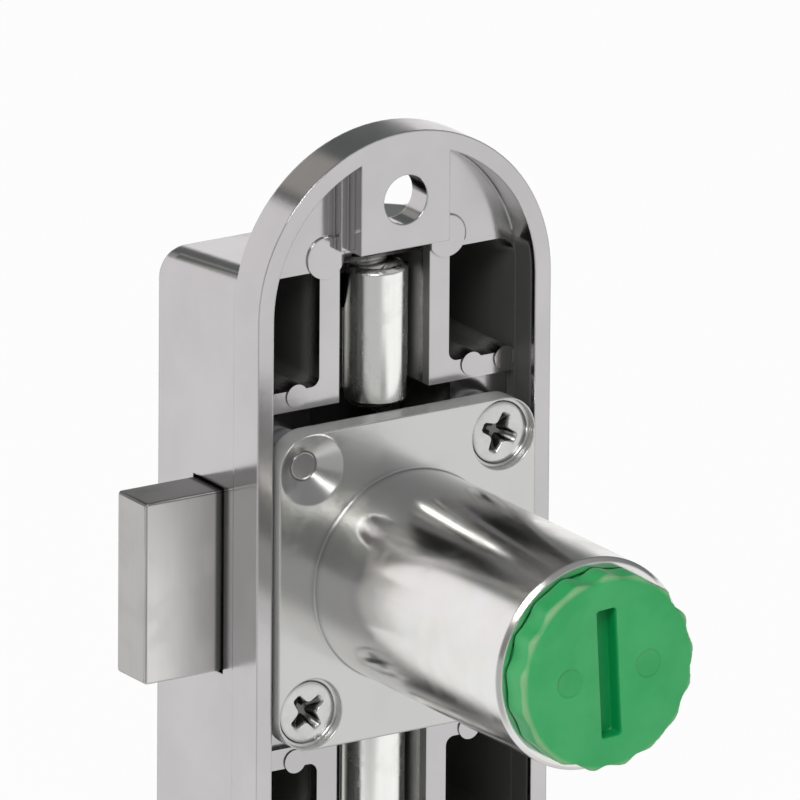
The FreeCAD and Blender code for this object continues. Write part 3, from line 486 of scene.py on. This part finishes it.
plateFinish = {
    "light": (0.80, 0.80, 0.795, 1),
    "warm": (0.77, 0.755, 0.71, 1),
    "flat": (0.59, 0.59, 0.58, 1),  # the plate, which is duller than the barrel
    "flatFrom": (-1.6 * mm, -0.5 * mm),
    # painted shade in crevices and inner corners
    "paintedShade": (0.06, 0.06, 0.055, 1),
    "paintedShadeReach": 0.35 * mm,
    "paintedShadeShare": 0.45,
    "rimMetal": 0.3,  # the plate's sides are duller than its front
    "rimFacing": (0.55, 0.25),
    "rimFrom": (-0.66 * mm, -0.55 * mm),
    "roughness": (0.16, 0.25),
    "skinScale": 700.0,
    "skinDetail": 2.0,
    "skinShare": 0.6,
    "cloudScale": 160.0,
    "smearScale": 150.0,
    "lineStretch": (900.0, 60.0, 900.0),
    "lineBump": 0.25,
    "lineDepth": 0.004 * mm,
    "edgeRadius": 0.25 * mm,
}


def makePlateNickel():
    finish = plateFinish
    material, tree, sockets = newFinish("brightNickel", Metallic=1.0)
    skin = useGroup(tree, castSkin, scale=finish["skinScale"], cloudScale=finish["cloudScale"],
                    detail=finish["skinDetail"])
    lines = useGroup(tree, drawnLines, stretch=finish["lineStretch"])
    depth = placeAndAxes(tree)[1]["Y"]
    facing = calculate(tree, "ABSOLUTE", placeAndAxes(tree, "Normal")[1]["Y"])
    tone = mixColours(tree, skin["clouds"], finish["light"], finish["warm"])
    tone = mixColours(tree, remap(tree, depth, *finish["flatFrom"]), tone, finish["flat"])
    plug(tree, addPaintedShade(tree, tone, finish), sockets["Base Color"])
    side = multiply(tree, remap(tree, facing, *finish["rimFacing"]),
                    remap(tree, depth, *finish["rimFrom"]))
    plug(tree, fade(tree, side, 1.0, finish["rimMetal"]), sockets["Metallic"])
    shine = addSmears(tree, finish["smearScale"], finish["roughness"])
    plug(tree, shine, sockets["Roughness"])
    waves = calculate(tree, "MULTIPLY_ADD", skin["height"], finish["skinShare"], lines["height"])
    normal = bumpFrom(tree, waves, finish["lineBump"], finish["lineDepth"], finish["edgeRadius"])
    plug(tree, normal, sockets["Normal"])
    arrangeNodes(tree)
    return material


metals = {
    # name: (light, dark, roughness, line stretch, line depth in mm)
    "boltNickel": ((0.90, 0.89, 0.875, 1), (0.82, 0.81, 0.80, 1),
                   (0.40, 0.50), (500.0, 900.0, 40.0), 0.006),
    "connectorNickel": ((0.97, 0.97, 0.94, 1), (0.88, 0.88, 0.85, 1),
                        (0.22, 0.32), (1500.0, 1500.0, 45.0), 0.010),
    "screwNickel": ((0.68, 0.68, 0.67, 1), (0.56, 0.56, 0.55, 1),
                    (0.20, 0.34), (700.0, 700.0, 700.0), 0.005),
    "rackSteel": ((0.55, 0.55, 0.54, 1), (0.42, 0.42, 0.41, 1),
                  (0.28, 0.42), (1800.0, 60.0, 1800.0), 0.006),
    "turnedSteel": ((0.60, 0.59, 0.57, 1), (0.48, 0.47, 0.46, 1),
                    (0.22, 0.36), (120.0, 2600.0, 120.0), 0.005),
    "springSteel": ((0.40, 0.41, 0.43, 1), (0.28, 0.28, 0.30, 1),
                    (0.26, 0.38), (60.0, 2000.0, 2000.0), 0.004),
    "castZinc": ((0.47, 0.48, 0.49, 1), (0.36, 0.37, 0.38, 1),
                 (0.38, 0.52), (400.0, 400.0, 400.0), 0.012),
    "bushBrass": ((0.75, 0.56, 0.26, 1), (0.60, 0.42, 0.18, 1),
                  (0.24, 0.38), (120.0, 2400.0, 120.0), 0.005),
}

metalWearAndShade = {
    "lineContrast": 1.6,
    "lineBump": 0.4,
    "smearScale": 260.0,
    # painted shade in crevices and inner corners
    "paintedShade": (0.03, 0.03, 0.028, 1),
    "paintedShadeReach": 0.9 * mm,
    "paintedShadeShare": 0.92,
}

boltFinish = {
    "endShade": 0.56,  # painted shade: the end and the top are darker than the sides
    "topShade": 0.40,
    # painted shade on the part inside the case's side
    "rootShade": 0.25,
    "edge": (0.30 * mm, 0.12 * mm),
    "root": (-14.75 * mm, -14.25 * mm),
}

screwRecessShade = {
    "colour": (0.15, 0.15, 0.14, 1),
    "depth": (0.02 * mm, 0.30 * mm),
}


def shadeBolt(tree, tone):
    # Painted shade: darker towards the end, along the top, and inside the case
    low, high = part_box("deadbolt")
    axes = placeAndAxes(tree)[1]
    fromEnd = calculate(tree, "SUBTRACT", axes["X"], low[0])
    fromTop = calculate(tree, "SUBTRACT", high[2], axes["Z"])
    for distance, edges, share in ((fromEnd, "edge", "endShade"), (fromTop, "edge", "topShade"),
                                   (axes["X"], "root", "rootShade")):
        mask = remap(tree, distance, *boltFinish[edges])
        tone = mixColours(tree, 1.0, tone, fade(tree, mask, 1.0, boltFinish[share]), "MULTIPLY")
    return tone


def shadeScrews(tree, tone):
    # Painted shade in the crosses and under the heads, darker with depth
    deep = remap(tree, placeAndAxes(tree)[1]["Y"], *screwRecessShade["depth"])
    return mixColours(tree, deep, tone, screwRecessShade["colour"])


def makeMetal(name):
    light, dark, roughness, stretch, depth = metals[name]
    material, tree, sockets = newFinish(name, Metallic=1.0)
    lines = useGroup(tree, drawnLines, stretch=stretch, contrast=metalWearAndShade["lineContrast"])
    tone = mixColours(tree, lines["tone"], light, dark)
    if name == "boltNickel":
        tone = shadeBolt(tree, tone)
    if name == "screwNickel":
        tone = shadeScrews(tree, tone)
    plug(tree, addPaintedShade(tree, tone, metalWearAndShade), sockets["Base Color"])
    plug(tree, addSmears(tree, metalWearAndShade["smearScale"], roughness), sockets["Roughness"])
    normal = bumpFrom(tree, lines["height"], metalWearAndShade["lineBump"], depth * mm)
    plug(tree, normal, sockets["Normal"])
    arrangeNodes(tree)
    return material


plugShape = {
    # millimetres, about the barrel's axis
    "radius": 8.3,
    "thickness": 2.7,
    "edge": 0.30,
    "backEdge": 0.12,
    "edgeSteps": 4,
    "faceInset": 1.02,  # times the edge
    "lobes": 17,
    "lobeDepth": 0.28,
    "lobeChange": 0.17,  # how unlike each other the lobes are
    "lobePower": 0.8,  # below 1 the hollows between the lobes are wide
    "burr": 0.11,  # the uneven moulding edge round the face
    "burrSide": 0.3,  # the share of it that reaches the side
    "slotHalf": (0.95, 5.5),
    "slotCorner": 0.3,
    "slotDepth": 1.5,
    "slotMouth": ((0.10, 0.0), (0.03, 0.03), (0.0, 0.12)),  # (wider by, below the face)
    "slotFloor": ((-0.05, -0.08), (-0.12, 0.0)),  # (wider by, below the floor)
    "slotTurn": -3.4,  # degrees
    "stemRadius": 7.8,
    "stemLength": 19.0,
    "stemWall": 1.3,
    "stemTip": 0.02,  # the small ring in the floor of the bore, times its radius
    "ringPoints": 256,
    "seed": 11,
}
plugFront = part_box("dummy_plug")[0][1]

plasticFinish = {
    "face": (0.034, 0.47, 0.135, 1),
    "pale": (0.056, 0.53, 0.163, 1),
    # partly a pale moulding flash round the face, partly a painted highlight on its rounded edge
    "paleRimHighlight": (0.27, 0.60, 0.27, 1),
    "rimReach": (-0.25 * mm, 0.20 * mm),
    "rimDepth": (0.7 * mm, 0.3 * mm),
    # painted shade inside the slot
    "slot": (0.001, 0.36, 0.095, 1),
    "slotEdge": 0.1 * mm,
    "slotDepth": (0.05 * mm, 0.45 * mm),
    "glow": 0.06,
    "glowReach": 0.8 * mm,
    "roughness": (0.36, 0.50),
    "skinScale": 1500.0,
    "cloudScale": 220.0,
    "smearScale": 180.0,
    "grainBump": 0.3,
    "grainDepth": 0.02 * mm,
    "markPlaces": (-3.8 * mm, 3.8 * mm),
    "markRadius": 1.3 * mm,
    "markEdge": 0.25 * mm,
    "markBump": 0.6,
    "markDepth": 0.18 * mm,
    "markTone": (0.88, 0.93, 0.9, 1),
}


def makeGreenPlastic():
    finish = plasticFinish
    material, tree, sockets = newFinish("greenPlastic", Subsurface_Weight=finish["glow"],
                                        Subsurface_Scale=finish["glowReach"])
    skin = useGroup(tree, castSkin, scale=finish["skinScale"], cloudScale=finish["cloudScale"])
    place = addNode(tree, "TexCoord").outputs["Object"]
    turned = addNode(tree, "VectorRotate", {"rotation_type": "Y_AXIS"}, Vector=place,
                     Angle=math.radians(-plugShape["slotTurn"])).outputs[0]
    axes = addNode(tree, "SeparateXYZ", Vector=turned).outputs
    across, along = (calculate(tree, "ABSOLUTE", axes[name]) for name in "XZ")
    depth = calculate(tree, "SUBTRACT", axes["Y"], plugFront)
    onFace = vectorMath(tree, "MULTIPLY", turned, (1, 0, 1))["Vector"]
    reach = vectorMath(tree, "LENGTH", onFace)["Value"]
    tone = mixColours(tree, skin["clouds"], finish["face"], finish["pale"])
    edge = (plugShape["radius"] - plugShape["edge"]) * mm
    # Pale flash and painted highlight along the rounded edge of the face
    paleRimHighlight = multiply(tree, remap(tree, reach, *(edge + step for step in finish["rimReach"])),
                   remap(tree, depth, *finish["rimDepth"]))
    tone = mixColours(tree, paleRimHighlight, tone, finish["paleRimHighlight"])
    radius = finish["markRadius"]
    marks = 0.0
    for markPlace in finish["markPlaces"]:
        toMark = vectorMath(tree, "DISTANCE", onFace, (markPlace, 0, 0))["Value"]
        mark = remap(tree, toMark, radius, radius - finish["markEdge"])
        marks = calculate(tree, "ADD", marks, mark)
    tone = mixColours(tree, marks, tone, finish["markTone"], "MULTIPLY")
    halfWide, halfHigh = (half * mm for half in plugShape["slotHalf"])
    # Painted shade inside the slot, below its mouth
    slotShadeMask = multiply(tree, remap(tree, across, halfWide + finish["slotEdge"], halfWide),
                      remap(tree, along, halfHigh + finish["slotEdge"], halfHigh),
                      remap(tree, depth, *finish["slotDepth"]))
    plug(tree, mixColours(tree, slotShadeMask, tone, finish["slot"]), sockets["Base Color"])
    shine = addSmears(tree, finish["smearScale"], finish["roughness"])
    plug(tree, shine, sockets["Roughness"])
    grain = bumpFrom(tree, skin["height"], finish["grainBump"], finish["grainDepth"])
    marked = addNode(tree, "Bump", {"invert": True}, Height=marks, Normal=grain,
                     Strength=finish["markBump"], Distance=finish["markDepth"])
    plug(tree, marked.outputs[0], sockets["Normal"])
    arrangeNodes(tree)
    return material


finishes = {name: makeMetal(name) for name in metals}
finishes["caseNickel"] = makeCaseNickel()
finishes["brightNickel"] = makePlateNickel()
finishes["greenPlastic"] = makeGreenPlastic()
print("finishes made")


# The CAD nodes: which finish each takes, and how far its edges are rounded

nodeFinishes = {
    # node: (finish, edge radius in mm, rounding steps)
    "case_body": ("caseNickel", 0, 0),  # this finish and the next round the edges themselves
    "cylinder_housing": ("brightNickel", 0, 0),
    "plate_screws": ("screwNickel", 0.06, 2),
    "stop_pin": ("turnedSteel", 0.08, 1),
    "detent_spring": ("springSteel", 0.06, 1),
    "rear_bush": ("bushBrass", 0.08, 1),
    "core_driver": ("turnedSteel", 0.12, 2),
    "driver_washer": ("rackSteel", 0.05, 1),
    "driver_circlip": ("springSteel", 0.05, 1),
    "drive_pinion": ("castZinc", 0.08, 1),
    "dummy_plug": ("greenPlastic", 0.15, 2),
    "deadbolt": ("boltNickel", 0.22, 3),
    "upper_rack_slide": ("rackSteel", 0.10, 1),
    "upper_rod_connector": ("connectorNickel", 0.12, 2),
    "upper_connector_rivet": ("turnedSteel", 0.12, 2),
    "lower_rack_slide": ("rackSteel", 0.10, 1),
    "lower_rod_connector": ("connectorNickel", 0.12, 2),
    "lower_connector_rivet": ("turnedSteel", 0.12, 2),
}
rounding = {
    "weldWithin": 0.002 * mm,
    "sharpOver": 28.0,  # degrees
    "pieceSharpOver": 34.0,  # for the meshes that this script makes
    "normalWeight": 90,
}


def dressNode(name):
    finish, radius, steps = nodeFinishes[name]
    item = nodes[name]
    item.data.materials.clear()
    item.data.materials.append(finishes[finish])
    if not radius:
        return
    weld = item.modifiers.new("weld", "WELD")
    weld.merge_threshold = rounding["weldWithin"]
    bevel = item.modifiers.new("roundEdges", "BEVEL")
    bevel.width = radius * mm
    bevel.segments = steps
    bevel.limit_method = "ANGLE"
    bevel.angle_limit = math.radians(rounding["sharpOver"])
    bevel.use_clamp_overlap = False
    bevel.miter_outer = "MITER_ARC"
    shading = item.modifiers.new("evenShading", "WEIGHTED_NORMAL")
    shading.weight = rounding["normalWeight"]


for name in nodes:
    dressNode(name)
print("nodes dressed")


# Pieces with their own meshes

def ringPoints(radii, y):
    # Points round the barrel's axis, one for each radius, in millimetres
    step = 2 * math.pi / len(radii)
    return [Vector((radius * math.sin(step * n), y, radius * math.cos(step * n)))
            for n, radius in enumerate(radii)]


def turnPoint(x, z, angle):
    return (x * math.cos(angle) + z * math.sin(angle),
            -x * math.sin(angle) + z * math.cos(angle))


def turnedPoints(outline, degrees, centre, y, scale=1.0):
    points = []
    for x, z in outline:
        across, up = turnPoint(x * scale, z * scale, math.radians(degrees))
        points.append(Vector((centre[0] + across, y, centre[1] + up)))
    return points


def addLoop(mesh, points):
    return [mesh.verts.new(point * mm) for point in points]


def bridgeAll(mesh, loops):
    for first, last in zip(loops, loops[1:]):
        for n in range(len(first)):
            after = (n + 1) % len(first)
            mesh.faces.new((first[n], first[after], last[after], last[n]))


def fillBetween(mesh, *loops):
    # Fills the flat region inside the first loop and outside the others
    edges = []
    for loop in loops:
        for n, corner in enumerate(loop):
            pair = (corner, loop[(n + 1) % len(loop)])
            edges.append(mesh.edges.get(pair) or mesh.edges.new(pair))
    bmesh.ops.triangle_fill(mesh, use_beauty=True, use_dissolve=False, edges=edges)


def finishPiece(mesh, name, material, body, replaced):
    bmesh.ops.recalc_face_normals(mesh, faces=mesh.faces)
    data = bpy.data.meshes.new(name)
    mesh.to_mesh(data)
    mesh.free()
    data.polygons.foreach_set("use_smooth", [True] * len(data.polygons))
    data.set_sharp_from_angle(angle=math.radians(rounding["pieceSharpOver"]))
    data.materials.append(material)
    piece = bpy.data.objects.new(name, data)
    bpy.context.collection.objects.link(piece)
    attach(piece, body)
    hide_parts(replaced)


def plugOutline():
    # The scalloped edge as radii, and how far the burr stands out of it
    shape = plugShape
    count, lobes = shape["ringPoints"], shape["lobes"]
    chance = random.Random(shape["seed"])
    depths = [shape["lobeDepth"] + chance.uniform(-1, 1) * shape["lobeChange"]
              for n in range(lobes)]
    rough = [chance.uniform(-1, 1) for n in range(count)]
    outer = []
    for n in range(count):
        turn = n / count * lobes
        wave = (0.5 - 0.5 * math.cos(2 * math.pi * turn)) ** shape["lobePower"]
        outer.append(shape["radius"] - depths[int(turn) % lobes] * wave)
    burr = [shape["burr"] * (rough[n] + rough[n - 1] + rough[n - 2] + rough[n - 3]) / 4
            for n in range(count)]
    return outer, burr


def slotOutline(halfWide, halfHigh, corner, steps=5):
    points = []
    for quarter, (x, z) in enumerate(((1, 1), (1, -1), (-1, -1), (-1, 1))):
        for n in range(steps + 1):
            angle = math.pi / 2 * (quarter + n / steps)
            points.append((x * (halfWide - corner) + corner * math.sin(angle),
                           z * (halfHigh - corner) + corner * math.cos(angle)))
    return points


def makePlug():
    shape = plugShape
    outer, burr = plugOutline()
    front = plugFront / mm
    back = front + shape["thickness"]
    edge, stem = shape["edge"], shape["stemRadius"]
    stemBack = back + shape["stemLength"]
    boreFloor = back + shape["stemWall"]
    bore = stem - shape["stemWall"]

    def even(radius):
        return [radius] * len(outer)

    def withBurr(inset, share=1.0):
        return [radius - inset + rise * share for radius, rise in zip(outer, burr)]

    profile = [
        (even(bore * shape["stemTip"]), boreFloor), (even(bore), boreFloor),
        (even(bore), stemBack), (even(stem), stemBack), (even(stem), back),
        ([radius - shape["backEdge"] for radius in outer], back),
        (outer, back - shape["backEdge"]), (withBurr(0, shape["burrSide"]), front + edge),
    ]
    for step in range(1, shape["edgeSteps"]):
        angle = math.pi / 2 * step / shape["edgeSteps"]
        profile.append((withBurr(edge * (1 - math.cos(angle))),
                        front + edge * (1 - math.sin(angle))))
    profile.append((withBurr(edge * shape["faceInset"]), front))
    mesh = bmesh.new()
    loops = [addLoop(mesh, ringPoints(radii, y)) for radii, y in profile]
    mesh.faces.new(loops[0])
    bridgeAll(mesh, loops)
    # The slot: a rounded mouth, walls that close in a little, and a flat floor
    halfWide, halfHigh = shape["slotHalf"]
    levels = list(shape["slotMouth"])
    levels += [(wider, shape["slotDepth"] + lower) for wider, lower in shape["slotFloor"]]
    slots = []
    for wider, lower in levels:
        outline = slotOutline(halfWide + wider, halfHigh + wider, shape["slotCorner"])
        points = turnedPoints(outline, shape["slotTurn"], (0, 0), front + lower)
        slots.append(addLoop(mesh, points))
    bridgeAll(mesh, slots)
    mesh.faces.new(slots[-1])
    fillBetween(mesh, loops[-1], slots[0])
    finishPiece(mesh, "greenPlug", finishes["greenPlastic"], "plug",
                "dummy_plug")


screwShape = {
    # millimetres; places are (across, up, turn of the cross in degrees)
    "places": ((9.28, 10.5, 24.0), (-9.28, -10.5, 52.0)),
    "headRadius": 2.64,
    "domeRadius": 2.112,
    "domeHeight": 0.06,
    "edge": 0.10,
    "edgeShare": 0.3,
    "threadRadius": 1.5,
    "length": 8.0,
    "tipRadius": 0.03,
    "tipEdge": 0.2,
    "halfArm": ((0.568, 0.68), (0.52, 0.808), (0.416, 1.56), (0.256, 1.72)),  # from its root
    "crossLevels": ((1.06, 0.0), (1.0, 0.05), (0.78, 0.63), (0.38, 1.05)),  # (size, depth)
    "ringPoints": 72,
}


def crossOutline():
    half = screwShape["halfArm"]
    arm = [(-x, z) for x, z in half] + list(half[::-1])
    return [turnPoint(x, z, math.pi / 2 * quarter) for quarter in range(4) for x, z in arm]


def makeScrews():
    shape = screwShape
    head, thread, end = shape["headRadius"], shape["threadRadius"], shape["length"]
    edge, dome = shape["edge"], shape["domeHeight"]
    profile = (
        (shape["tipRadius"], end), (thread - shape["tipEdge"], end),
        (thread, end - shape["tipEdge"]), (thread, head - thread), (head, edge),
        (head - edge * shape["edgeShare"], edge * shape["edgeShare"]), (head - edge, 0.0),
        (shape["domeRadius"], -dome),
    )
    mesh = bmesh.new()
    for across, up, turn in shape["places"]:
        centre = Vector((across, 0, up))
        loops = []
        for radius, y in profile:
            points = ringPoints([radius] * shape["ringPoints"], y)
            loops.append(addLoop(mesh, [point + centre for point in points]))
        mesh.faces.new(loops[0])
        bridgeAll(mesh, loops)
        crosses = [
            addLoop(mesh, turnedPoints(crossOutline(), turn, (across, up), depth - dome, size))
            for size, depth in shape["crossLevels"]]
        bridgeAll(mesh, crosses)
        fillBetween(mesh, crosses[-1])
        fillBetween(mesh, loops[-1], crosses[0])
    finishPiece(mesh, "crossScrews", finishes["screwNickel"], "case",
                "plate_screws")


makePlug()
makeScrews()
print("plug and screws made")
